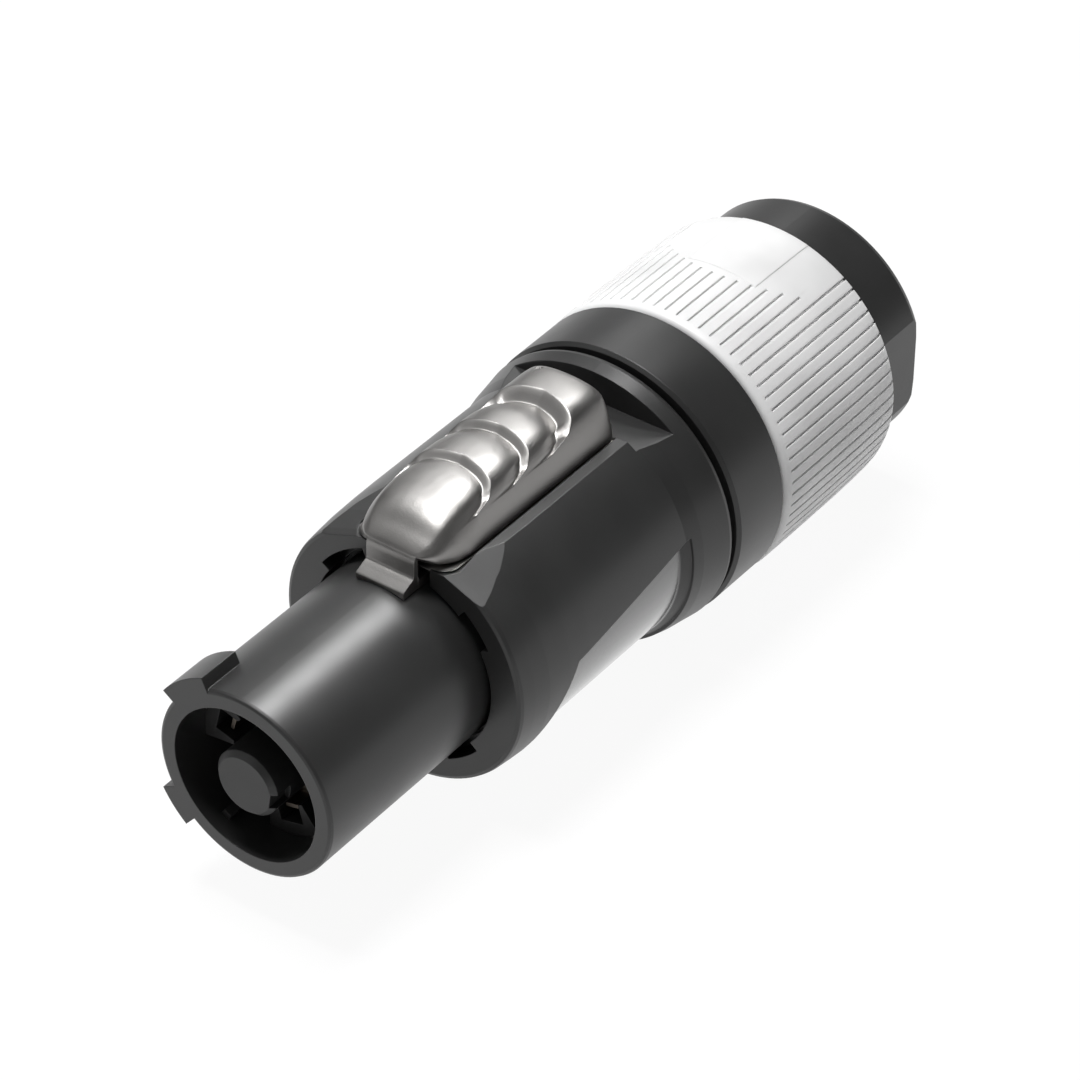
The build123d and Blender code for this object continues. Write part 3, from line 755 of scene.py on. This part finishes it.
# %% Press the grooves in and round the ribs
def press(piece, chosen, depth):
    """Push the chosen faces in along their normals, with walls round them."""
    lone(piece)
    bpy.ops.object.mode_set(mode="EDIT")
    bpy.ops.mesh.select_mode(type="FACE")
    bpy.ops.mesh.select_all(action="DESELECT")
    bpy.ops.object.mode_set(mode="OBJECT")
    count = 0
    for face in piece.data.polygons:
        face.select = chosen(face.center / MM)
        count += face.select
    bpy.ops.object.mode_set(mode="EDIT")
    bpy.ops.mesh.extrude_region_shrink_fatten(TRANSFORM_OT_shrink_fatten={"value": -depth * MM})
    bpy.ops.object.mode_set(mode="OBJECT")
    return count


print("groove faces:", press(grip, in_groove, GROOVE_DEPTH))
print("pad faces:", press(grip, on_pad, -PAD_RISE))
applied(grip, "BEVEL", width=RIB_ROUND, segments=2, limit_method="ANGLE", angle_limit=radians(38))
finished(grip, 40, grey_plastic)
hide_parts("grip_ring")
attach(grip, "bushing_body")

# %% [markdown]
# ## White table
# The connector lies on a white table with no edge in sight. White paper under
# lamps turns grey away from them, and lamps strong enough to hide that would
# bleach the grip. So the table only looks white: the camera and mirrors see
# mostly a glow, while the light that it throws back is that of grey paper.

# %% Table
TABLE_SIZE = 6.0
TABLE_GREY = 0.62
GLOW = 1.06
GLOW_SHARE = 0.88
bpy.ops.mesh.primitive_plane_add(size=TABLE_SIZE, location=(0, 0, cad_box[0][2]))
floor = bpy.context.object
floor.name = "studio_floor"
paper = Finish("paper", Base_Color=grey(TABLE_GREY), Roughness=0.9)
glow = paper.node("Emission", Color=grey(1.0), Strength=GLOW)
seen = paper.node("LightPath", output="Is Camera Ray")
mirrored = paper.node("LightPath", output="Is Glossy Ray")
surface = paper.node("MixShader", i0=seen.at_least(mirrored) * GLOW_SHARE,
                     i1=Wire(paper.tree, paper.shader.outputs[0]), i2=glow)
plug(paper.tree, surface, paper.tree.nodes["Material Output"].inputs["Surface"])
floor.data.materials.append(paper.material)
print("table", TABLE_SIZE, "m square at", round(cad_box[0][2] / MM, 2), "mm")

# %% [markdown]
# ## Lamps
# One lamp above would leave the black parts without form. Five do it, and each
# has its own task. The key lamp hangs nearly straight above and makes the pale
# grip bright. A large one behind the cable's end draws the long soft lights on
# top of the round parts. One on the nose's side lights the faces that look
# that way, such as the steps of the latch. Two small ones close by give the
# nose and the black ring their bright lines. The world is a dark grey, so the
# black plastic stays black.

# %% Lamps and world
def softbox(name, direction, distance, size, power, aim=AIM, spread=180):
    """A rectangular lamp that looks at a point from a direction."""
    data = bpy.data.lights.new(name, "AREA")
    data.shape = "RECTANGLE"
    data.size, data.size_y = size
    data.energy = power
    data.spread = radians(spread)
    lamp = bpy.data.objects.new(name, data)
    lamp.location = aim + Vector(direction).normalized() * distance
    lamp.rotation_euler = (aim - lamp.location).to_track_quat("-Z", "Y").to_euler()
    bpy.context.collection.objects.link(lamp)
    print(name, "in mm:", [round(v / MM) for v in lamp.location])


NOSE_SPOT = Vector((-16.0, -2.2, 9.4)) * MM
RING_SPOT = Vector((33.0, 0.0, 15.0)) * MM
softbox("key_light", (-0.02, 0.15, 0.98), 0.9, (0.3, 0.3), 8.3)
softbox("back_light", (0.66, 0.64, 0.32), 1.2, (1.3, 1.0), 1.3)
softbox("side_light", (-0.5, 0.45, 0.75), 1.2, (1.2, 1.2), 1.7)
softbox("nose_strip", (0.588, 0.1425, 0.795), 0.15, (0.05, 0.05), 0.0075, aim=NOSE_SPOT, spread=30)
softbox("ring_strip", (0.6665, 0.4705, 0.578), 0.16, (0.05, 0.05), 0.02, aim=RING_SPOT)

world = bpy.data.worlds.new("studio")
bpy.context.scene.world = world
world.use_nodes = True
background = world.node_tree.nodes["Background"]
background.inputs["Color"].default_value = grey(0.15)
background.inputs["Strength"].default_value = 1.0

# %% [markdown]
# ## Face counts, and the end
# The dressed object must stay as large as the CAD model. The CAD box is
# printed near the top; this cell prints the face count of each CAD solid.

# %% Print the face counts and finish
for name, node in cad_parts.items():
    print(name, len(node.data.polygons))
